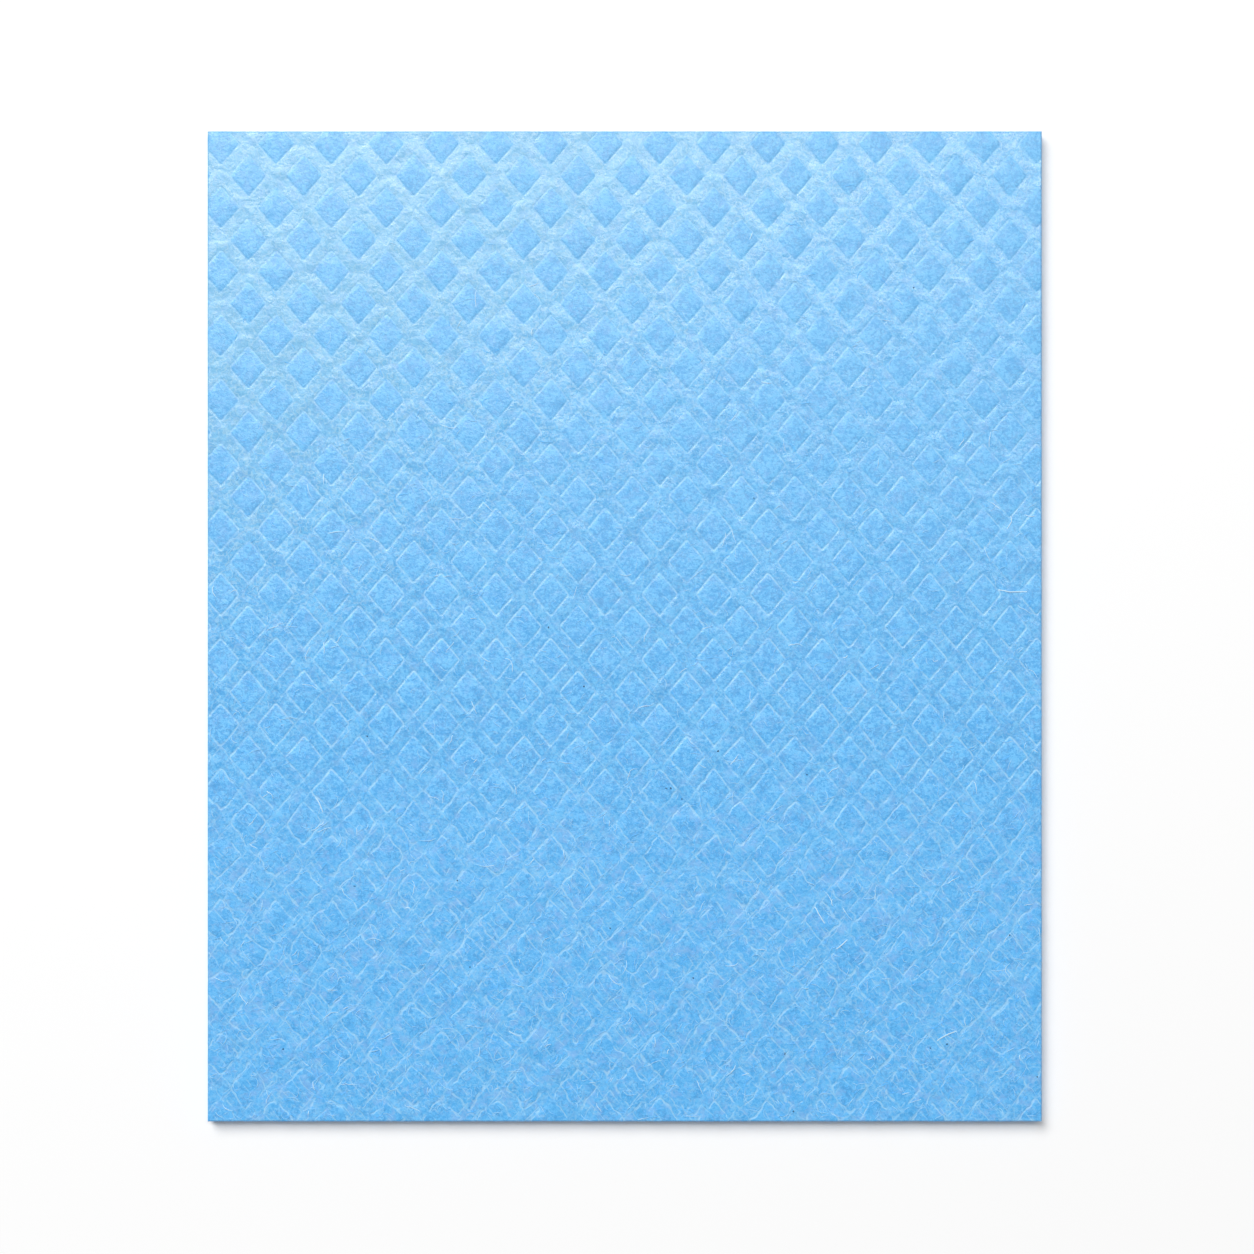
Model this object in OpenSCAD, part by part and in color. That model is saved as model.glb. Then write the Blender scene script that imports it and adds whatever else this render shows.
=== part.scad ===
// Sponge cloth: one flat rectangle of thick absorbent cloth. Its upper side is
// embossed with rows of diamond pads that stand a little above the smooth bands
// between them, and the bands cross into a diagonal lattice. The underside is
// plain, and the four edges are cut straight through the pattern.
// It lies flat on z = 0, with its length along Y and its centre at the origin.

/* [Cloth] */
// Width of the cloth, along X
cloth_w = 171; // [60:1:260]
// Length of the cloth, along Y
cloth_l = 203; // [60:1:300]
// Thickness of the dry cloth, from the underside to the tops of the pads
cloth_t = 3.2; // [2:0.1:8]

/* [Diamond pattern] */
// Distance between two neighbouring pads of one row, along X
pitch_x = 11.15; // [9:0.05:30]
// Distance between two neighbouring pads of one column, along Y
pitch_y = 13.35; // [9:0.05:30]
// Width of the flat bands between the feet of the pads, measured across a band
band_w = 2.8; // [1.5:0.1:4]
// How far the pad nearest the middle lies right of the centre of the cloth
pattern_x = 1.5; // [-5:0.05:5]
// How far the pad nearest the middle lies above the centre of the cloth
pattern_y = -0.45; // [-6:0.05:6]

/* [Pads] */
// How far the pads stand above the bands
pad_rise = 0.4; // [0.1:0.05:0.8]
// Width of the slope around each pad, from its foot to its flat top
pad_slope = 0.4; // [0.1:0.05:0.6]

/* [Hidden] */

cloth_colour = [0.51, 0.77, 0.96];

// The bands run along the two diagonals of one cell of the pattern.
band_angle = atan2(pitch_y, pitch_x);
// Distance from the middle of one band to the middle of the next
band_pitch = pitch_x * pitch_y / norm([pitch_x, pitch_y]);
// Width of a pad at its foot, from side to side
pad_w = band_pitch - band_w;
// Height of the bands' surface above the underside
band_top = cloth_t - pad_rise;
// How far the pattern has to run from its middle pad to pass every corner, and
// the number of rows of pads that takes on each side of that pad
reach = norm([cloth_w, cloth_l]) / 2 + norm([pattern_x, pattern_y]);
rows = ceil(reach / band_pitch);

// The cloth's straight-cut outline, up to a height.
module block(top) {
    translate([-cloth_w / 2, -cloth_l / 2, 0])
        cube([cloth_w, cloth_l, top]);
}

// Bars side by side along one diagonal, one for each row of pads. Their sloping
// sides start one rise below the bands' surface, inside the cloth.
module bars(angle) {
    translate([pattern_x, pattern_y, band_top])
        rotate([0, 0, angle])
            for (i = [-rows : rows])
                translate([-reach, i * band_pitch, 0])
                    rotate([90, 0, 90])
                        linear_extrude(2 * reach)
                            polygon([
                                [-pad_w / 2 - pad_slope, -pad_rise],
                                [pad_w / 2 + pad_slope, -pad_rise],
                                [pad_w / 2 - pad_slope, pad_rise],
                                [-pad_w / 2 + pad_slope, pad_rise]
                            ]);
}

// A pad wherever bars of the two diagonals cross.
module pads() {
    intersection() {
        block(cloth_t);
        bars(band_angle);
        bars(-band_angle);
    }
}

module cloth() {
    color(cloth_colour) {
        block(band_top);
        pads();
    }
}

cloth();
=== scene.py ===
"""Sponge cloth: a thick nonwoven sheet, embossed with rows of diamond pads.

Each pad has a fine crease around it. The pattern is crisp at the upper end, where y is greatest, and
towards the lower end the fibres have blurred it. Lengths are in metres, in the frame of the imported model,
where the cloth lies on z = 0.
"""

import functools
import math
from typing import NamedTuple

import bmesh
import bpy
import numpy as np
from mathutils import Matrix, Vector
from mathutils.geometry import delaunay_2d_cdt


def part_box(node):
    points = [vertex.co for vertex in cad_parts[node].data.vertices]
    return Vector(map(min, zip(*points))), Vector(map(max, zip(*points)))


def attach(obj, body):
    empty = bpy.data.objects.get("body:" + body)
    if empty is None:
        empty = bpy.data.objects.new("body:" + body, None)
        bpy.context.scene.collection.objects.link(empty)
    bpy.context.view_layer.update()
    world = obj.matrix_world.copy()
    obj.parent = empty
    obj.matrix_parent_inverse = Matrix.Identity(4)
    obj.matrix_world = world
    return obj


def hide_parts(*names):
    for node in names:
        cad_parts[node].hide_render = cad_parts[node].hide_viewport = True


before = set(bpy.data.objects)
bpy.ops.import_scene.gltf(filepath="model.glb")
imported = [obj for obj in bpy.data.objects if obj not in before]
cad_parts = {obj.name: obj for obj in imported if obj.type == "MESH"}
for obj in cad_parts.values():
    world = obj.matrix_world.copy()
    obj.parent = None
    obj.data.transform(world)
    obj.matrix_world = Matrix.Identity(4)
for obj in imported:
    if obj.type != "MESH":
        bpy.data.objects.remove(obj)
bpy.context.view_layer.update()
CLOTH_LOW, CLOTH_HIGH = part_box("cloth")
WIDTH, LENGTH, TOP = (CLOTH_HIGH[i] - CLOTH_LOW[i] for i in range(3))

MM = 0.001
SEED = 7

# The pattern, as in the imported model: how far apart pads are, across and along, and where the middle one is
PITCH_X, PITCH_Y = 11.15 * MM, 13.35 * MM
PATTERN_X, PATTERN_Y = 1.5 * MM, -0.45 * MM
# Across a band between two pads, from the bottom of one crease to the next
BAND = 2.8 * MM
# From the middle of one band to the middle of the next, and from the middle of a pad to its crease
BAND_PITCH = PITCH_X * PITCH_Y / math.hypot(PITCH_X, PITCH_Y)
PAD_HALF = (BAND_PITCH - BAND) / 2

# How far the pattern has crept in the making, from its even pitch: to the left at both sides and down at
# both ends, and back by a share of that in the middle
CREEP_X, CREEP_Y = 0.85 * MM, 1.15 * MM
CREEP_BACK_X, CREEP_BACK_Y = 0.1, 0.35
# Between these places along the cloth, the pattern goes from crisp to worn
CRISP_Y, WORN_Y = -15 * MM, -60 * MM
# How far the pattern strays where it is crisp, how much further where it is worn, and the size of the waves
WARPS = ((0.03 * MM, 0.22 * MM, 9 * MM), (0.01 * MM, 0.11 * MM, 3.5 * MM))

# The relief, below the top of the pads
CREASE_HALF = 0.4 * MM
CREASE_DEPTH = 0.014 * MM
PAD_CROWN = 0.02 * MM
PAD_CORNER = 0.5 * MM
# The bands' drop, the share of it that is left where they are shallow, and between which places they deepen
BAND_DROP = 0.034 * MM
SHALLOW_SHARE = 0.3
SHALLOW_Y, DEEP_Y = -30 * MM, 90 * MM
# The share of a crease's depth that wear leaves: its mean, its least, and how much it varies in patches,
# with their size
CREASE_LEFT, CREASE_LEAST = 0.5, 0.1
CREASE_PATCHES = ((0.35, 16 * MM), (0.3, 6 * MM))
# The crumples' heights with their sizes, and how much higher they are where the cloth is worn
CRUMPLES = ((0.01 * MM, 2.6 * MM), (0.02 * MM, 6 * MM))
WORN_CRUMPLE = 0.6
# How far the whole sheet swells, and the size of the swells
SWELL, SWELL_SIZE = 0.03 * MM, 60 * MM

# Strips of the grid across half a pad and across half a band, between the creases' lips
PAD_STEPS, BAND_STEPS = 2, 2
# How far the grid reaches past the cloth before it is cut
GRID_MARGIN = 3.0 * MM
# Points of the cut rim that are nearer to each other than this become one
RIM_MERGE = 0.04 * MM
# How near points are to count as the same, where a plane cuts the face and where triangles close the
# underside
CUT_TOLERANCE, CLOSING_TOLERANCE = 1e-7, 1e-8
SHARP_ANGLE = math.radians(35)

# The cut edges: their rounding, how rough the cut is and the size of that roughness
EDGE_ROUND = 0.24 * MM
EDGE_ROUGHNESS, EDGE_WAVES = 0.015 * MM, 1.5 * MM
# The rings of points down the wall. Each has its height, as a share of the face's, and how far in from the
# outline it lies, as a share of the rounding.
WALL_RINGS = ((0.94, 0.0), (0.64, 0.0), (0.33, 0.0), (0.06, 0.0), (0.0, 0.7))
# The underside's points: how far apart they are, how far each strays, as a share of that, and how high it
# may be
UNDERSIDE_STEP = 3.0 * MM
UNDERSIDE_STRAY = 0.3
UNDERSIDE_LIFT = 0.05 * MM

# What the cloth's mesh says about each point: its distance from the crease, how far it is beyond the lines
# along which the creases lie, one way and the other, and 1 where it isn't on the face
FROM_PAD = "from_pad"
BEYOND_A, BEYOND_B = "beyond_a", "beyond_b"
CUT_EDGE = "cut_edge"


def wave_field(rng, wavelength, count=28, spread=0.4):
    """A smooth random field over x and y, of about this wavelength. Its mean is 0 and its deviation 1."""
    angle = rng.uniform(0, 2 * math.pi, count)
    turns = 2 * math.pi / (wavelength * rng.uniform(1 - spread, 1 + spread, count))
    phase = rng.uniform(0, 2 * math.pi, count)
    kx, ky = turns * np.cos(angle), turns * np.sin(angle)

    def field(x, y):
        total = np.zeros(np.shape(x))
        for i in range(count):
            total += np.cos(kx[i] * x + ky[i] * y + phase[i])
        return total * math.sqrt(2 / count)

    return field


def smoothstep(low, high, value):
    t = np.clip((value - low) / (high - low), 0, 1)
    return t * t * (3 - 2 * t)


def within(x, y, inset):
    """Whether places lie on the cloth, at least this far in from its outline."""
    return (np.abs(x) < WIDTH / 2 - inset) & (np.abs(y) < LENGTH / 2 - inset)


def from_middle(line):
    """Distance from the middle of the nearest pad, along one diagonal of the lattice. line is in cells."""
    return np.abs(line - np.round(line)) * BAND_PITCH


def pad_distance(a, b):
    """Distance from the crease around the nearest pad: below 0 on the pad, above it on the bands."""
    straight = PAD_HALF - PAD_CORNER
    over_a, over_b = from_middle(a) - straight, from_middle(b) - straight
    outside = np.hypot(np.maximum(over_a, 0), np.maximum(over_b, 0))
    return outside + np.minimum(np.maximum(over_a, over_b), 0) - PAD_CORNER


class Face:
    """The embossed face: where a point of the flat lattice comes to lie, and how high."""

    def __init__(self, rng):
        self.warps = [
            (crisp, worn, wave_field(rng, size), wave_field(rng, size)) for crisp, worn, size in WARPS
        ]
        self.patches = [(reach, wave_field(rng, size)) for reach, size in CREASE_PATCHES]
        self.crumples = [(height, wave_field(rng, size)) for height, size in CRUMPLES]
        self.swell = wave_field(rng, SWELL_SIZE)

    def wear(self, y):
        """0 at the crisp end of the cloth, 1 at the end where the fibres have blurred the pattern."""
        return smoothstep(CRISP_Y, WORN_Y, y)

    def moved(self, x, y):
        """How far the pattern has strayed sideways at a place."""
        wear = self.wear(y)
        shift_x = CREEP_X * (CREEP_BACK_X - (2 * x / WIDTH) ** 2)
        shift_y = CREEP_Y * (CREEP_BACK_Y - (2 * y / LENGTH) ** 2)
        for crisp, worn, field_x, field_y in self.warps:
            reach = crisp + worn * wear
            shift_x = shift_x + reach * field_x(x, y)
            shift_y = shift_y + reach * field_y(x, y)
        return shift_x, shift_y

    def crispness(self, x, y):
        """How deep the creases are at a place, as a share of their full depth."""
        left = CREASE_LEFT
        for reach, field in self.patches:
            left = left + reach * field(x, y)
        return 1 - self.wear(y) * (1 - np.clip(left, CREASE_LEAST, 1))

    def height(self, a, b, x, y):
        """Height at lattice place a, b, in cells, which lies at x, y."""
        from_pad = pad_distance(a, b)
        crown = smoothstep(0, PAD_HALF, -from_pad)
        drop = BAND_DROP * (SHALLOW_SHARE + (1 - SHALLOW_SHARE) * smoothstep(SHALLOW_Y, DEEP_Y, y))
        level = PAD_CROWN * (crown - 1) - drop * np.clip(1 + from_pad / CREASE_HALF, 0, 1)
        crease = np.clip(1 - np.abs(from_pad) / CREASE_HALF, 0, 1)
        level = level - CREASE_DEPTH * crease * self.crispness(x, y)
        for height, field in self.crumples:
            level = level + height * field(x, y) * (1 + WORN_CRUMPLE * self.wear(y))
        return TOP + level + SWELL * self.swell(x, y)

    def height_over(self, x, y):
        """Height of the face over a place x, y of the finished cloth."""
        shift_x, shift_y = self.moved(x, y)
        flat_x, flat_y = x - shift_x, y - shift_y
        across = (flat_x - PATTERN_X) / PITCH_X
        along = (flat_y - PATTERN_Y) / PITCH_Y
        return self.height(across + along, across - along, flat_x, flat_y)


def lattice_lines():
    """Grid lines along one diagonal of the lattice, in cells. Each crease and each of its lips has one."""
    inner, outer = PAD_HALF - CREASE_HALF, PAD_HALF + CREASE_HALF
    half = [
        *np.linspace(0, inner, PAD_STEPS + 1)[1:],
        PAD_HALF,
        *np.linspace(outer, BAND_PITCH / 2, BAND_STEPS + 1),
    ]
    right = np.array(half) / BAND_PITCH
    cell = np.concatenate([-right[::-1], [0], right[:-1]])
    reach = math.ceil((WIDTH / PITCH_X + LENGTH / PITCH_Y) / 2) + 1
    return np.concatenate([i + cell for i in range(-reach, reach + 1)])


def grid_quads(points, count):
    """The quads of a square grid with this many points a side, as far as the margin around the cloth."""
    first = (np.arange(count - 1)[:, None] * count + np.arange(count - 1)).ravel()
    quads = np.stack([first, first + 1, first + count + 1, first + count], -1)
    near = within(points[:, 0], points[:, 1], -GRID_MARGIN)
    return quads[near[quads].all(1)]


def face_mesh(face):
    """The embossed face on the lattice's own grid, larger than the cloth by a ragged margin."""
    lines = lattice_lines()
    a, b = np.meshgrid(lines, lines, indexing="ij")
    x = PATTERN_X + (a + b) * PITCH_X / 2
    y = PATTERN_Y + (a - b) * PITCH_Y / 2
    shift_x, shift_y = face.moved(x, y)
    points = np.stack([x + shift_x, y + shift_y, face.height(a, b, x, y)], -1).reshape(-1, 3)
    used, quads = np.unique(grid_quads(points, len(lines)), return_inverse=True)
    mesh = bpy.data.meshes.new("cloth")
    mesh.from_pydata(points[used].tolist(), [], quads.reshape(-1, 4).tolist())
    facts = {
        FROM_PAD: pad_distance(a, b),
        BEYOND_A: from_middle(a) - PAD_HALF,
        BEYOND_B: from_middle(b) - PAD_HALF,
        CUT_EDGE: np.zeros(a.shape),
    }
    for name, values in facts.items():
        mesh.attributes.new(name, "FLOAT", "POINT").data.foreach_set("value", values.ravel()[used])
    return mesh


def cut_to_size(bm):
    """Cuts the face off along the four edges, as far in as their rounding."""
    for normal, reach in (((1, 0, 0), WIDTH / 2), ((0, 1, 0), LENGTH / 2)):
        for side in (-1, 1):
            outward = Vector(normal) * side
            bmesh.ops.bisect_plane(
                bm,
                geom=[*bm.verts, *bm.edges, *bm.faces],
                dist=CUT_TOLERANCE,
                plane_co=outward * (reach - EDGE_ROUND),
                plane_no=outward,
                clear_outer=True,
            )
    rim = [v for v in bm.verts if v.is_boundary]
    bmesh.ops.remove_doubles(bm, verts=rim, dist=RIM_MERGE)


def rim_loop(bm):
    """The points around the rim of the face in order, counterclockwise from above."""
    start = next(e for e in bm.edges if e.is_boundary)
    loop = next(iter(start.link_faces[0].loops))
    while loop.edge is not start:
        loop = loop.link_loop_next
    first, point = loop.vert, start.other_vert(loop.vert)
    ring, edge = [first], start
    while point is not first:
        ring.append(point)
        edge = next(e for e in point.link_edges if e.is_boundary and e is not edge)
        point = edge.other_vert(point)
    return ring


def add_walls(bm, rng):
    """Draws the rim of the face down to the underside in rough rings, and returns the last ring."""
    cut_edge = bm.verts.layers.float[CUT_EDGE]
    pattern = [bm.verts.layers.float[name] for name in (FROM_PAD, BEYOND_A, BEYOND_B)]
    above = rim_loop(bm)
    rim = np.array([v.co for v in above])
    for share, inset in WALL_RINGS:
        rough = EDGE_ROUGHNESS * np.abs(wave_field(rng, EDGE_WAVES)(rim[:, 0], rim[:, 1]))
        inward = EDGE_ROUND * inset + rough
        x = rim[:, 0] * (WIDTH / 2 - inward) / (WIDTH / 2 - EDGE_ROUND)
        y = rim[:, 1] * (LENGTH / 2 - inward) / (LENGTH / 2 - EDGE_ROUND)
        ring = [bm.verts.new(place) for place in zip(x, y, rim[:, 2] * share, strict=True)]
        for i, vertex in enumerate(ring):
            vertex[cut_edge] = 1
            for layer in pattern:
                vertex[layer] = above[i][layer]
            bm.faces.new((above[i - 1], ring[i - 1], vertex, above[i]))
        above = ring
    return above


def underside_places(rng):
    """Places of the underside's own points: an even grid, from which each strays a little."""
    rows = [np.arange(-half + UNDERSIDE_STEP, half, UNDERSIDE_STEP) for half in (WIDTH / 2, LENGTH / 2)]
    x, y = np.meshgrid(*rows)
    x = x + rng.uniform(-UNDERSIDE_STRAY, UNDERSIDE_STRAY, x.shape) * UNDERSIDE_STEP
    y = y + rng.uniform(-UNDERSIDE_STRAY, UNDERSIDE_STRAY, y.shape) * UNDERSIDE_STEP
    inside = within(x, y, UNDERSIDE_STEP / 2)
    return [Vector(place) for place in zip(x[inside], y[inside], strict=True)]


def add_underside(bm, ring, rng):
    """Closes the underside with even triangles, which lie flat apart from a slight roughness."""
    flat = [v.co.to_2d() for v in ring] + underside_places(rng)
    sides = [(i - 1, i) for i in range(1, len(ring))] + [(len(ring) - 1, 0)]
    keep_inside = 1
    points, _, faces, origin, _, _ = delaunay_2d_cdt(flat, sides, [], keep_inside, CLOSING_TOLERANCE)
    cut_edge = bm.verts.layers.float[CUT_EDGE]
    made = []
    for point, source in zip(points, origin, strict=True):
        on_ring = [i for i in source if i < len(ring)]
        lift = rng.uniform(0, UNDERSIDE_LIFT)
        made.append(ring[on_ring[0]] if on_ring else bm.verts.new((point.x, point.y, lift)))
        made[-1][cut_edge] = 1
    for face in faces:
        bm.faces.new([made[i] for i in reversed(face)])


def add_piece(mesh):
    piece = bpy.data.objects.new(mesh.name, mesh)
    bpy.context.scene.collection.objects.link(piece)
    return piece


def make_cloth(face, rng):
    mesh = face_mesh(face)
    bm = bmesh.new()
    bm.from_mesh(mesh)
    cut_to_size(bm)
    add_underside(bm, add_walls(bm, rng), rng)
    bmesh.ops.recalc_face_normals(bm, faces=bm.faces)
    bm.to_mesh(mesh)
    bm.free()
    mesh.shade_smooth()
    mesh.set_sharp_from_angle(angle=SHARP_ANGLE)
    return add_piece(mesh)


# A fibre: how many points it has along it and around it, its height as a share of its width, the share of
# its width that is left at its ends, and how far its middle lies above its ends, in half widths
FIBRE_POINTS, FIBRE_SIDES = 8, 4
FLATNESS = 0.5
END_WIDTH = 0.35
MIDDLE_LIFT = 1.6


class Scattered(NamedTuple):
    """A kind of fibre that is scattered over the cloth."""

    count: int
    # How strongly they gather towards the lower end: their density is this power of the distance from the
    # upper end
    gather: float
    # The least and the greatest
    lengths: tuple
    widths: tuple
    # How far above the face their middles may arch
    arch: float
    # How far they turn from end to end, in radians
    curl: float


SURFACE_FIBRES = Scattered(
    count=3100,
    gather=1.5,
    lengths=(1.2 * MM, 4.6 * MM),
    widths=(0.12 * MM, 0.2 * MM),
    arch=0.03 * MM,
    curl=1.6,
)
PALE_FIBRES = Scattered(
    count=260,
    gather=1.4,
    lengths=(1.2 * MM, 5.0 * MM),
    widths=(0.14 * MM, 0.24 * MM),
    arch=0.06 * MM,
    curl=0.9,
)
# Tiny dark flecks: fibres so short and thick that each is a lump
DARK_SPECKS = Scattered(
    count=18,
    gather=1.5,
    lengths=(0.3 * MM, 0.6 * MM),
    widths=(0.28 * MM, 0.42 * MM),
    arch=0.0,
    curl=2.4,
)
# How far a scattered fibre turns at each of its points, in radians
WANDER = 0.25

# Dark flecks that stand out in the photo: place in mm from the middle of the cloth
FLECKS = ((8.5, -33.1), (9.4, -33.2), (-3.0, -61.8), (62.6, -86.4), (-31.7, -69.8))
# Pale fibres that stand out in the photo: place in mm from the middle, length in mm, heading in degrees
STRAIGHT_FIBRES = (
    (39.9, -59.1, 5.5, -56),
    (44.5, -65.2, 4.2, 47),
    (66.0, -83.9, 6.4, 27),
    (-62.6, -36.6, 4.8, -59),
    (79.5, 7.3, 8.6, -5),
)
STRAIGHT_WIDTH, STRAIGHT_ARCH = 0.3 * MM, 0.05 * MM
STRAIGHT_CURL, STRAIGHT_WANDER = 0.3, 0.08


def curled_paths(rng, x, y, length, heading, curl, wander):
    """Paths over the cloth, each with its middle at a place x, y. curl and wander are in radians."""
    count = len(x)
    steps = FIBRE_POINTS - 1
    turn = rng.normal(0, curl, (count, 1)) / steps + rng.normal(0, wander, (count, steps))
    heading = heading[:, None] + np.cumsum(turn, 1) - turn.sum(1, keepdims=True) / 2
    run = np.zeros((2, count, FIBRE_POINTS))
    run[0, :, 1:] = np.cumsum(np.cos(heading) * length[:, None] / steps, 1)
    run[1, :, 1:] = np.cumsum(np.sin(heading) * length[:, None] / steps, 1)
    run -= run.mean(2, keepdims=True)
    return run[0] + x[:, None], run[1] + y[:, None]


def tubes(name, points, radius):
    """One mesh of thin closed tubes along points, an array of fibre, point and x, y, z."""
    count, length = points.shape[:2]
    along = np.gradient(points, axis=1)
    along /= np.linalg.norm(along, axis=2, keepdims=True)
    across = np.cross((0, 0, 1), along)
    across /= np.linalg.norm(across, axis=2, keepdims=True)
    up = FLATNESS * np.cross(along, across)
    angle = 2 * math.pi * (np.arange(FIBRE_SIDES) + 0.5) / FIBRE_SIDES
    spoke = np.cos(angle)[:, None] * across[:, :, None] + np.sin(angle)[:, None] * up[:, :, None]
    rings = points[:, :, None] + radius[:, :, None, None] * spoke
    index = np.arange(count * length * FIBRE_SIDES).reshape(count, length, FIBRE_SIDES)
    near, far = index[:, :-1], index[:, 1:]
    near_next, far_next = np.roll(near, -1, 2), np.roll(far, -1, 2)
    sides = np.stack([near, near_next, far_next, far], -1).reshape(-1, 4)
    ends = np.concatenate([index[:, 0, ::-1], index[:, -1]])
    mesh = bpy.data.meshes.new(name)
    mesh.from_pydata(rings.reshape(-1, 3).tolist(), [], sides.tolist() + ends.tolist())
    return mesh


def lay_fibres(name, face, rng, x, y, length, width, heading, arch, curl, wander):
    """Fibres that lie on the face, with their ends in it and their middles up to arch above it."""
    path_x, path_y = curled_paths(rng, x, y, length, heading, curl, wander)
    inside = within(path_x, path_y, EDGE_ROUND).all(1)
    path_x, path_y, radius = path_x[inside], path_y[inside], width[inside, None] / 2
    bow = np.sin(math.pi * np.linspace(0, 1, FIBRE_POINTS))
    lift = radius * (MIDDLE_LIFT * bow - 1) + rng.uniform(0, arch, radius.shape) * bow**2
    points = np.stack([path_x, path_y, face.height_over(path_x, path_y) + lift], -1)
    return add_piece(tubes(name, points, radius * (END_WIDTH + (1 - END_WIDTH) * bow**0.5)))


def make_scattered(name, kind, face, rng, placed=()):
    """Fibres of a kind, scattered over the cloth, and one more at each of the places in mm."""
    x = rng.uniform(-WIDTH / 2, WIDTH / 2, kind.count)
    y = (0.5 - rng.uniform(0, 1, kind.count) ** (1 / (1 + kind.gather))) * LENGTH
    x = np.append(x, [place[0] * MM for place in placed])
    y = np.append(y, [place[1] * MM for place in placed])
    length = rng.uniform(*kind.lengths, len(x))
    width = rng.uniform(*kind.widths, len(x))
    heading = rng.uniform(0, 2 * math.pi, len(x))
    return lay_fibres(name, face, rng, x, y, length, width, heading, kind.arch, kind.curl, WANDER)


def make_straight_fibres(face, rng):
    x, y, length, heading = np.array(STRAIGHT_FIBRES).T
    x, y, length, heading = x * MM, y * MM, length * MM, np.radians(heading)
    width = np.full(len(x), STRAIGHT_WIDTH)
    shape = (STRAIGHT_ARCH, STRAIGHT_CURL, STRAIGHT_WANDER)
    return lay_fibres("straight_fibres", face, rng, x, y, length, width, heading, *shape)


class Nodes:
    """Adds nodes to a new material. Each call returns the socket that carries its result."""

    # Nearly all noise lies between these
    NOISE_LOW, NOISE_HIGH = 0.2, 0.8
    # How far apart seeds take a noise
    SEED_X, SEED_Y = 0.13, 0.29
    # Strands show where a broader noise is above a level, which falls by a share of their cover
    STRAND_BROADER, STRAND_LEVEL, COVER_SHARE = 1.7, 0.62, 0.3
    STRAND_FADE = 0.08

    def __init__(self, name):
        self.material = bpy.data.materials.new(name)
        self.material.use_nodes = True
        self.tree = self.material.node_tree
        self.shader = self.tree.nodes["Principled BSDF"]

    @functools.cached_property
    def place(self):
        """Where a point is, in metres."""
        return self.put("ShaderNodeTexCoord", {}, "Object")

    def feed(self, socket, value):
        if isinstance(value, bpy.types.NodeSocket):
            self.tree.links.new(value, socket)
        else:
            socket.default_value = value

    def shade(self, values):
        """Sets or links these sockets of the shader, by name, and returns the material."""
        for name, value in values.items():
            self.feed(self.shader.inputs[name], value)
        return self.material

    def put(self, kind, values, output=0, **settings):
        node = self.tree.nodes.new(kind)
        for key, value in settings.items():
            setattr(node, key, value)
        for key, value in values.items():
            self.feed(node.inputs[key], value)
        return node.outputs[output]

    def maths(self, operation, *values):
        return self.put("ShaderNodeMath", dict(enumerate(values)), operation=operation)

    def plus(self, *values):
        return functools.reduce(lambda total, value: self.maths("ADD", total, value), values)

    def minus(self, value, less):
        return self.maths("SUBTRACT", value, less)

    def times(self, *values):
        return functools.reduce(lambda total, value: self.maths("MULTIPLY", total, value), values)

    def greatest(self, *values):
        return functools.reduce(lambda most, value: self.maths("MAXIMUM", most, value), values)

    def unsigned(self, value):
        return self.maths("ABSOLUTE", value)

    def fade(self, value, low, high, to_low=0.0, to_high=1.0):
        """to_low where value is at low, to_high where it is at high, and a smooth step between."""
        values = {"Value": value, "From Min": low, "From Max": high, "To Min": to_low, "To Max": to_high}
        return self.put("ShaderNodeMapRange", values, interpolation_type="SMOOTHSTEP")

    def between(self, share, at_none, at_full):
        """at_none where share is 0, at_full where it is 1, and a smooth step between."""
        return self.fade(share, 0.0, 1.0, at_none, at_full)

    def mix(self, below, above, share):
        """The colour below, covered by this share of the colour above."""
        return self.put("ShaderNodeMix", {0: share, 6: below, 7: above}, 2, data_type="RGBA")

    def attribute(self, name):
        return self.put("ShaderNodeAttribute", {}, "Fac", attribute_name=name)

    def noise(self, size, seed, detail=2.0, roughness=0.5, distortion=0.0):
        """Noise from 0 to 1, around 0.5, of about this size. Each seed takes it from another place."""
        offset = (self.SEED_X * seed, self.SEED_Y * seed, 0.0)
        apart = self.put("ShaderNodeVectorMath", {0: self.place, 1: offset}, operation="ADD")
        values = {"Vector": apart, "Scale": 1 / size, "Detail": detail, "Roughness": roughness}
        return self.put("ShaderNodeTexNoise", values | {"Distortion": distortion})

    def stray(self, size, seed, reach):
        """A smooth random length from -reach to reach."""
        return self.fade(self.noise(size, seed, detail=1.0), self.NOISE_LOW, self.NOISE_HIGH, -reach, reach)

    def curls(self, size, seed, width):
        """Thin curly lines, 1 along their middle. width is how much the noise changes across one."""
        level = self.noise(size, seed, detail=1.0, roughness=0.4, distortion=0.6)
        return self.fade(self.unsigned(self.minus(level, 0.5)), width, 0.0)

    def strands(self, size, seed, width, cover):
        """Curly lines, broken into strands. The greater the cover, the more of the surface has them."""
        level = self.STRAND_LEVEL - self.COVER_SHARE * cover
        broad = self.noise(self.STRAND_BROADER * size, seed + 9, detail=0.0)
        here = self.fade(broad, level, level + self.STRAND_FADE)
        return self.times(self.curls(size, seed, width), here)


# The cloth's colours
CLOTH_DEEP = (0.026, 0.352, 0.79, 1)
CLOTH_PALE = (0.118, 0.525, 0.96, 1)
THREAD_DARK = (0.02, 0.26, 0.62, 1)
# Painted sheen: a greyer tint and a paler blue for the bands and the upper end, where the lamps' reflection
# lies
PAINTED_SHEEN_TINT = (0.20, 0.50, 0.71, 1)
PAINTED_SHEEN_PALE = (0.36, 0.76, 1.0, 1)
LILAC = (0.20, 0.45, 0.84, 1)
LINE_BLUE = (0.42, 0.73, 0.95, 1)
# Painted sheen: pale flecks on the bands towards the upper left
PAINTED_SHEEN_FLECKS = (0.55, 0.82, 0.96, 1)
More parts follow.
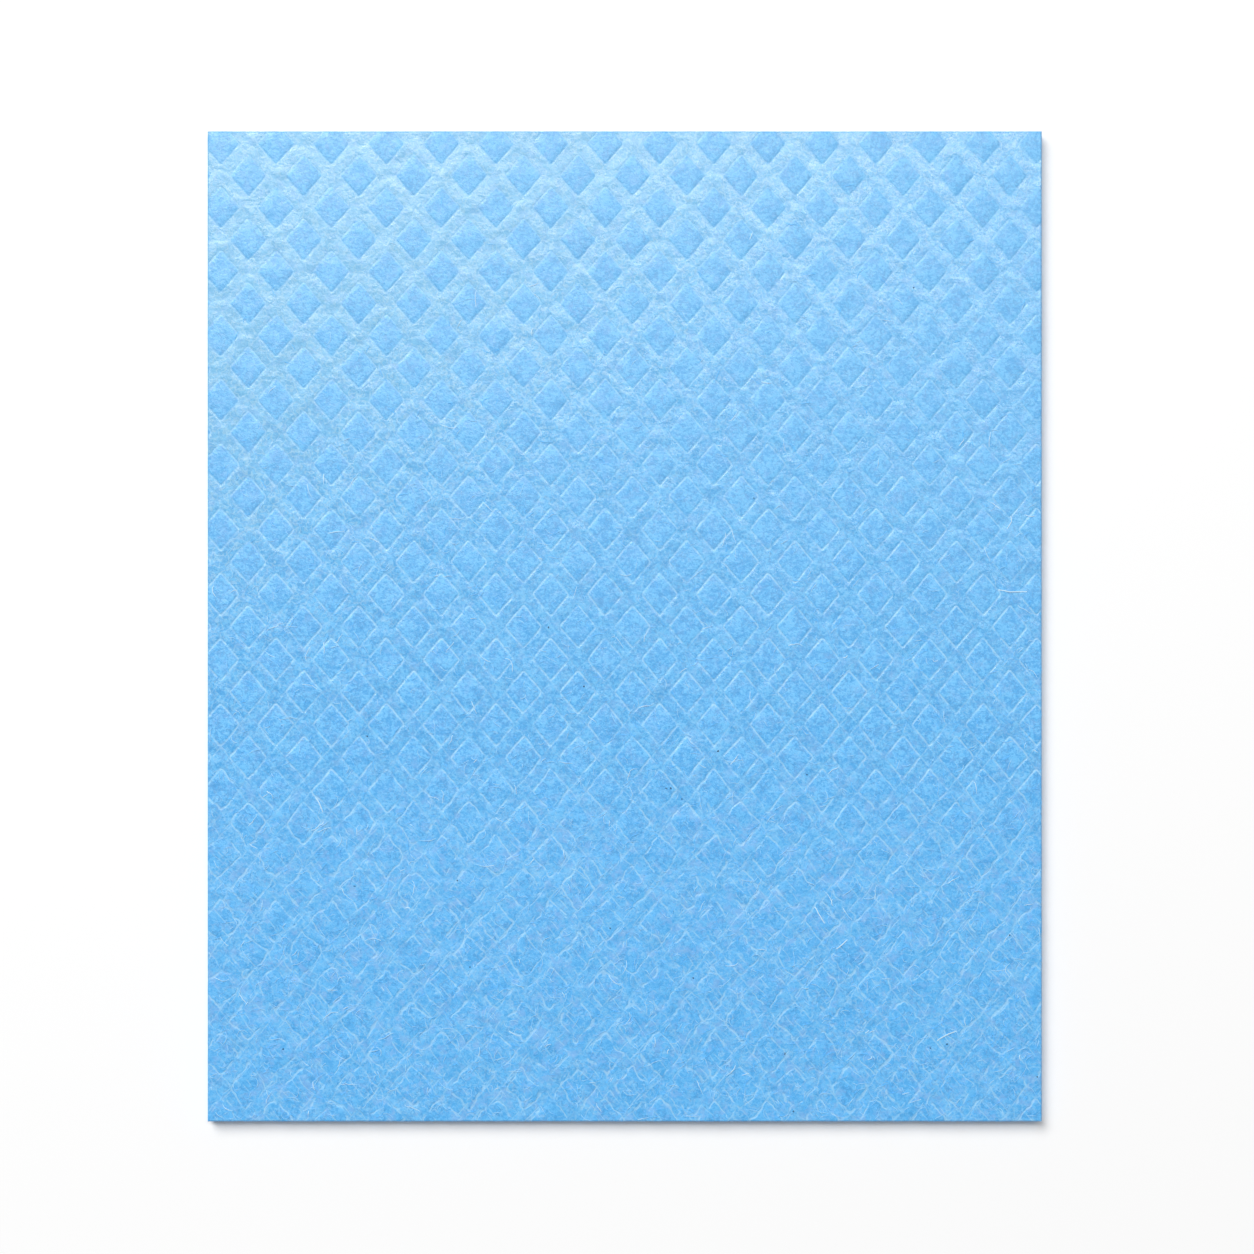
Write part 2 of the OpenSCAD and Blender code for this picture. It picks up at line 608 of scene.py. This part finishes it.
# The fibres' colours
FIBRE_BLUE = (0.36, 0.68, 0.94, 1)
FIBRE_WHITE = (0.58, 0.82, 0.97, 1)
SPECK_DARK = (0.02, 0.07, 0.14, 1)
SPECK_BLUE = (0.05, 0.20, 0.40, 1)

# Fades. Each has a low and a high value, and what they give, which is 0 and 1 where it isn't said. Here the
# value is y.
LINES_BY_Y = (90 * MM, -20 * MM, 0.15, 0.47)
RUN_ON_BY_Y = (30 * MM, -50 * MM, 0.05, 0.6)
# Painted sheen: the bands turn paler and the whole cloth takes a greyer tint towards the upper end
PAINTED_SHEEN_PALE_BY_Y = (30 * MM, 70 * MM, 0.0, 0.03)
PAINTED_SHEEN_TINT_BY_Y = (-80 * MM, 100 * MM, 0.0, 0.25)
GROOVE_BY_Y = (70 * MM, 0.0, 0.09, 0.22)
# The painted sheen on the bands is palest towards the upper left, so here the value is y less this share of x
SLANT = 0.55
PAINTED_FLECKS_BY_SLANT = (0.0, 90 * MM, 0.12, 0.48)
PAINTED_SHEEN_BY_SLANT = (35 * MM, 105 * MM, 0.02, 0.46)
# Here it is a noise
CRISP_BREAKS = (0.36, 0.58, 0.4, 1.0)
WORN_BREAKS = (0.4, 0.54, 0.15, 1.0)
GHOST_PATCHES = (0.45, 0.6)
LILAC_PATCHES = (0.5, 0.68)
GLOSS_PATCHES = (0.35, 0.65, 0.04, -0.04)
# Here it is a distance from the pads' outlines
BAND_EDGE = (-0.2 * MM, 0.3 * MM)
GROOVE_SIDE = (0.5 * MM, 0.0)

# How strong or how rough something is at the crisp end and at the worn end
PALE_THREADS = (0.14, 0.3)
STRANDS = (0.2, 0.5)
LILAC_SHARE = (0.3, 0.6)
# Painted shade: the lower end is darkened a little, in place of shade that the lowered relief no longer gives
LOWER_END_PAINTED_SHADE = (0.0, 0.06)
TONE_SOFTNESS = (0.0, 0.2)
WOBBLE_SHARE = (0.25, 1.0)
TRACES = (0.2, 0.26)
BAND_ROUGHNESS = (0.3, 0.38)
WORN_ROUGHNESS = (0.0, 0.08)
# The same, on the pads and on the bands
THREADS_BY_BAND = (1.0, 0.8)
GRAIN_RELIEF = (0.8, 0.43)
CRINKLE_RELIEF = (0.4, 0.65)
# The depth of the creases' grooves at the worn end
WORN_GROOVE = 0.15
# How strong the dark threads are, the ghosts where the cloth is worn, and the deep blue on the cut edge
DARK_THREADS, GHOST_SHARE, CUT_SHARE = 0.6, 0.75, 0.6
PAD_ROUGHNESS = 0.41
SPECULAR, SHEEN = 1.0, 0.03
# How high a relief of 1 stands
RELIEF_HEIGHT = 0.1 * MM

# The share of the fine grain in the mottled tone, and the tones between which it goes from deep to pale
GRAIN_SHARE = 0.62
TONE_LOW, TONE_HIGH = 0.44, 0.56
# The sizes of the noises
GRAIN, MOTTLE, THREADS = 0.6 * MM, 2.4 * MM, 1.3 * MM
BREAKS, WOBBLES, GLOSS, CRINKLES = 2.2 * MM, 2.0 * MM, 3.2 * MM, 1.5 * MM
GHOST_WAVES, GHOST_PATCH = 6.0 * MM, 3.5 * MM
# How far the wobble moves the pattern, and how far a ghost strays from an even lattice
WOBBLE, GHOST_STRAY = 0.25 * MM, 0.6 * MM
# Half the width of each kind of line, and how far inside the outline of a pad its crease's line lies
CREASE_LINE, RUN_ON_LINE, GHOST_LINE = 0.12 * MM, 0.09 * MM, 0.08 * MM
CREASE_INSET = 0.03 * MM
# The ghosts: a seed, and how far each is set aside and up
GHOSTS = ((20, 0.7 * MM, 2.4 * MM), (30, -2.6 * MM, -0.6 * MM))
# Curly lines: their size, a seed, how much the noise changes across one, and for strands their cover
FINE_STRANDS, LONG_STRANDS = (1.2 * MM, 3, 0.03, 0.5), (2.2 * MM, 4, 0.014, 0.4)
PALE_STRANDS, DARK_STRANDS = (THREADS, 40, 0.08, 0.5), (THREADS, 55, 0.08, 0.5)
# The curls of the painted sheen's flecks on the bands
PAINTED_FLECK_CURLS = (THREADS, 70, 0.08)
# Whole cells that keep every place of the lattice above 0
CELLS_UP = 64.0


class ClothNodes(Nodes):
    """Nodes for the cloth. They know where a point lies, how worn it is and how far it is on a band."""

    def __init__(self):
        super().__init__("cloth_nonwoven")
        self.x, self.y = self.put("ShaderNodeSeparateXYZ", {"Vector": self.place}).node.outputs[:2]
        self.wear = self.fade(self.y, CRISP_Y, WORN_Y)
        wobble = self.stray(WOBBLES, seed=17, reach=WOBBLE)
        wobble = self.times(wobble, self.between(self.wear, *WOBBLE_SHARE))
        self.from_pad = self.plus(self.attribute(FROM_PAD), wobble)
        self.beyond = [self.plus(self.attribute(name), wobble) for name in (BEYOND_A, BEYOND_B)]
        self.cut_edge = self.attribute(CUT_EDGE)
        self.on_band = self.fade(self.from_pad, *BAND_EDGE)
        self.grain = self.noise(GRAIN, seed=1, detail=3.0, roughness=0.8)
        breaks = self.noise(BREAKS, seed=6)
        self.worn_breaks = self.fade(breaks, *WORN_BREAKS)
        crisp = self.times(self.fade(breaks, *CRISP_BREAKS), self.minus(1.0, self.wear))
        self.breaks = self.plus(crisp, self.times(self.worn_breaks, self.wear))


def along_line(n, distance, half):
    """1 within half of where the distance is 0, and 0 beyond twice that."""
    return n.fade(n.unsigned(distance), 2 * half, half)


def lattice_distance(n, x, y):
    """Distance from the outline of the nearest pad of an even lattice, for places x, y."""
    across = n.maths("DIVIDE", x, PITCH_X)
    along = n.maths("DIVIDE", y, PITCH_Y)
    a = n.maths("PINGPONG", n.plus(across, along, CELLS_UP), 0.5)
    b = n.maths("PINGPONG", n.plus(n.minus(across, along), CELLS_UP), 0.5)
    return n.minus(n.times(n.greatest(a, b), BAND_PITCH), PAD_HALF)


def ghost_lines(n, seed, aside, up):
    """Fine lines of the pattern set aside and up from it, in patches."""
    x = n.plus(n.x, n.stray(GHOST_WAVES, seed, GHOST_STRAY), aside)
    line = along_line(n, lattice_distance(n, x, n.plus(n.y, up)), GHOST_LINE)
    return n.times(line, n.fade(n.noise(GHOST_PATCH, seed + 1, detail=1.0), *GHOST_PATCHES))


def run_on_lines(n):
    """The creases' lines, where they run on past the pads' corners."""
    distance = n.maths("MINIMUM", *(n.unsigned(beyond) for beyond in n.beyond))
    return n.times(along_line(n, distance, RUN_ON_LINE), n.worn_breaks, n.fade(n.y, *RUN_ON_BY_Y))


def cloth_lines(n):
    """All pale lines: the creases', those past the corners, the ghosts that come with wear, and strands."""
    crease = n.times(along_line(n, n.plus(n.from_pad, CREASE_INSET), CREASE_LINE), n.breaks)
    ghosts = n.greatest(*(ghost_lines(n, *ghost) for ghost in GHOSTS))
    ghosts = n.times(ghosts, n.wear, GHOST_SHARE)
    strands = n.greatest(n.strands(*FINE_STRANDS), n.strands(*LONG_STRANDS))
    strands = n.times(strands, n.between(n.wear, *STRANDS))
    lines = n.greatest(crease, ghosts, run_on_lines(n), strands)
    return n.times(lines, n.between(n.cut_edge, 1.0, 0.0))


def mottled_colour(n):
    """The mottled blue, which is softer at the worn end, with pale and dark threads in it."""
    mottle = n.noise(MOTTLE, seed=2, detail=3.0, roughness=0.85)
    tone = n.plus(n.times(n.grain, GRAIN_SHARE), n.times(mottle, 1 - GRAIN_SHARE))
    softer = n.between(n.wear, *TONE_SOFTNESS)
    colour = n.mix(CLOTH_DEEP, CLOTH_PALE, n.fade(tone, TONE_LOW, TONE_HIGH, softer, n.minus(1.0, softer)))
    share = n.between(n.on_band, *THREADS_BY_BAND)
    pale = n.times(n.strands(*PALE_STRANDS), share, n.between(n.wear, *PALE_THREADS))
    dark = n.times(n.strands(*DARK_STRANDS), share, DARK_THREADS)
    return n.mix(n.mix(colour, LINE_BLUE, pale), THREAD_DARK, dark)


def colour_with_painted_sheen(n, colour):
    """The colour with painted sheen over it: a paler blue, pale flecks and a greyer tint on the bands towards
    the upper end and upper left, and a greyer tint over the whole of the upper end.
    """
    slant = n.minus(n.y, n.times(n.x, SLANT))
    colour = n.mix(colour, PAINTED_SHEEN_PALE, n.times(n.on_band, n.fade(n.y, *PAINTED_SHEEN_PALE_BY_Y)))
    painted_flecks = n.times(n.curls(*PAINTED_FLECK_CURLS), n.on_band, n.fade(slant, *PAINTED_FLECKS_BY_SLANT))
    colour = n.mix(colour, PAINTED_SHEEN_FLECKS, painted_flecks)
    colour = n.mix(colour, PAINTED_SHEEN_TINT, n.times(n.on_band, n.fade(slant, *PAINTED_SHEEN_BY_SLANT)))
    return n.mix(colour, PAINTED_SHEEN_TINT, n.fade(n.y, *PAINTED_SHEEN_TINT_BY_Y))


def cloth_colour(n, lines):
    colour = colour_with_painted_sheen(n, mottled_colour(n))
    lilac = n.fade(n.noise(MOTTLE, seed=10, detail=3.0, roughness=0.7), *LILAC_PATCHES)
    colour = n.mix(colour, LILAC, n.times(lilac, n.between(n.wear, *LILAC_SHARE)))
    # Painted shade: darker towards the lower end
    colour = n.mix(colour, THREAD_DARK, n.between(n.wear, *LOWER_END_PAINTED_SHADE))
    colour = n.mix(colour, LINE_BLUE, n.times(lines, n.fade(n.y, *LINES_BY_Y)))
    return n.mix(colour, CLOTH_DEEP, n.times(n.cut_edge, CUT_SHARE))


def cloth_roughness(n):
    """The bands are glossier than the pads, and both are duller at the worn end."""
    level = n.between(n.on_band, PAD_ROUGHNESS, n.between(n.wear, *BAND_ROUGHNESS))
    patches = n.fade(n.noise(GLOSS, seed=13, roughness=0.6), *GLOSS_PATCHES)
    return n.plus(level, patches, n.between(n.wear, *WORN_ROUGHNESS))


def cloth_relief(n, lines):
    """Height of the fine relief: grain and crinkles, less the lines' traces and the creases' grooves."""
    grain = n.times(n.grain, n.between(n.on_band, *GRAIN_RELIEF))
    traces = n.times(lines, n.between(n.wear, *TRACES))
    crinkles = n.noise(CRINKLES, seed=12, distortion=0.4)
    crinkles = n.times(crinkles, n.between(n.on_band, *CRINKLE_RELIEF))
    depth = n.between(n.wear, n.fade(n.y, *GROOVE_BY_Y), WORN_GROOVE)
    grooves = n.times(n.fade(n.unsigned(n.from_pad), *GROOVE_SIDE), n.breaks, depth)
    return n.minus(n.plus(n.minus(grain, traces), crinkles), grooves)


def cloth_material():
    n = ClothNodes()
    lines = cloth_lines(n)
    bump = {"Height": cloth_relief(n, lines), "Strength": 1.0, "Distance": RELIEF_HEIGHT}
    return n.shade({
        "Base Color": cloth_colour(n, lines),
        "Roughness": cloth_roughness(n),
        "Normal": n.put("ShaderNodeBump", bump),
        "Specular IOR Level": SPECULAR,
        "Sheen Weight": SHEEN,
    })


# The fibres' noise: its size, and the fades from it to their colours and to their roughness
FIBRE_NOISE = 2.5 * MM
FIBRE_TONES = (0.4, 0.62)
FIBRE_ROUGHNESS = (0.3, 0.7, 0.5, 0.7)


def fibre_material(name, colour, other):
    n = Nodes(name)
    tone = n.noise(FIBRE_NOISE, seed=11, detail=1.0)
    return n.shade({
        "Base Color": n.mix(colour, other, n.fade(tone, *FIBRE_TONES)),
        "Roughness": n.fade(tone, *FIBRE_ROUGHNESS),
    })


def finish_piece(piece, material):
    piece.data.materials.append(material)
    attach(piece, "root")


# The picture that the camera takes in, in metres across, and where its middle lies on the cloth
VIEW_WIDTH = 257.0 * MM
VIEW_X, VIEW_Y = 0.47 * MM, -0.12 * MM
CAMERA_DISTANCE = 0.5
SENSOR = 36.0


def make_camera():
    data = bpy.data.cameras.new("camera")
    data.sensor_width = SENSOR
    data.lens = SENSOR * CAMERA_DISTANCE / VIEW_WIDTH
    camera = bpy.data.objects.new("camera", data)
    camera.location = (VIEW_X, VIEW_Y, TOP + CAMERA_DISTANCE)
    bpy.context.scene.collection.objects.link(camera)
    bpy.context.scene.camera = camera


# The key lamp stands at the upper left: how far off, and the sines of its tilts. Its size sets how soft the
# shadow is.
KEY_DISTANCE, KEY_LEFT, KEY_UP = 4.0, 0.37, 0.56
KEY_SIZE, KEY_BRIGHTNESS = (2.2, 2.1), 8.8
# The top lamp, above the upper end, gives the sheen there
TOP_PLACE = (0.12, 0.87, 2.4)
TOP_SIZE, TOP_BRIGHTNESS = (1.9, 0.46), 7.3
# The world's light on the cloth
WORLD_LIGHT = 0.15
# The floor: half its side, its colour, and the light that it adds where it is seen
FLOOR_HALF = 3.0
FLOOR_GREY = 0.93
FLOOR_LIFT = 0.11


def lamp_place(distance, left, up):
    """A place this far from the middle of the cloth, where left and up are the sines of its tilts."""
    return Vector((-left, up, math.sqrt(1 - left**2 - up**2))) * distance


def make_lamp(name, place, size, brightness):
    """A rectangular lamp, turned to the middle of the cloth.

    Its surface has this brightness, where a white surface in plain light has 1.
    """
    data = bpy.data.lights.new(name, "AREA")
    data.shape = "RECTANGLE"
    data.size, data.size_y = size
    data.energy = brightness * math.pi * size[0] * size[1]
    lamp = bpy.data.objects.new(name, data)
    lamp.location = place
    lamp.rotation_euler = (-Vector(place)).to_track_quat("-Z", "Y").to_euler()
    bpy.context.scene.collection.objects.link(lamp)


def seen_directly(nodes):
    """1 for what the camera sees, straight, by reflection or through glass. 0 for light on a surface."""
    path = nodes.new("ShaderNodeLightPath")
    total = path.outputs["Is Camera Ray"]
    for name in ("Is Glossy Ray", "Is Transmission Ray"):
        add = nodes.new("ShaderNodeMath")
        add.operation = "MAXIMUM"
        nodes.id_data.links.new(total, add.inputs[0])
        nodes.id_data.links.new(path.outputs[name], add.inputs[1])
        total = add.outputs[0]
    return total


def make_world():
    world = bpy.data.worlds.new("studio")
    world.use_nodes = True
    bpy.context.scene.world = world
    tree = world.node_tree
    background = tree.nodes["Background"]
    background.inputs["Color"].default_value = (1, 1, 1, 1)
    strength = tree.nodes.new("ShaderNodeMapRange")
    strength.inputs["To Min"].default_value = WORLD_LIGHT
    strength.inputs["To Max"].default_value = 1.0
    tree.links.new(seen_directly(tree.nodes), strength.inputs["Value"])
    tree.links.new(strength.outputs[0], background.inputs["Strength"])


def floor_material():
    n = Nodes("pale_floor")
    return n.shade({
        "Base Color": (FLOOR_GREY, FLOOR_GREY, FLOOR_GREY, 1),
        "Roughness": 1.0,
        "Specular IOR Level": 0.0,
        "Emission Color": (1, 1, 1, 1),
        "Emission Strength": n.times(seen_directly(n.tree.nodes), FLOOR_LIFT),
    })


def make_floor():
    mesh = bpy.data.meshes.new("floor")
    corners = [(x * FLOOR_HALF, y * FLOOR_HALF, 0) for x, y in ((-1, -1), (1, -1), (1, 1), (-1, 1))]
    mesh.from_pydata(corners, [], [(0, 1, 2, 3)])
    floor = add_piece(mesh)
    floor.data.materials.append(floor_material())


def make_studio():
    bpy.context.scene.view_settings.view_transform = "Standard"
    make_world()
    make_floor()
    make_lamp("key_lamp", lamp_place(KEY_DISTANCE, KEY_LEFT, KEY_UP), KEY_SIZE, KEY_BRIGHTNESS)
    make_lamp("top_lamp", TOP_PLACE, TOP_SIZE, TOP_BRIGHTNESS)


make_camera()
make_studio()
rng = np.random.default_rng(SEED)
face = Face(rng)
cloth = make_cloth(face, rng)
finish_piece(cloth, cloth_material())
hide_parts("cloth")
fibres = make_scattered("surface_fibres", SURFACE_FIBRES, face, rng)
finish_piece(fibres, fibre_material("blue_fibre", CLOTH_PALE, FIBRE_BLUE))
pale = make_scattered("pale_fibres", PALE_FIBRES, face, rng)
finish_piece(pale, fibre_material("pale_fibre", FIBRE_BLUE, FIBRE_WHITE))
straight = make_straight_fibres(face, rng)
finish_piece(straight, fibre_material("white_fibre", FIBRE_WHITE, FIBRE_WHITE))
specks = make_scattered("dark_specks", DARK_SPECKS, face, rng, placed=FLECKS)
finish_piece(specks, fibre_material("dark_fleck", SPECK_DARK, SPECK_BLUE))
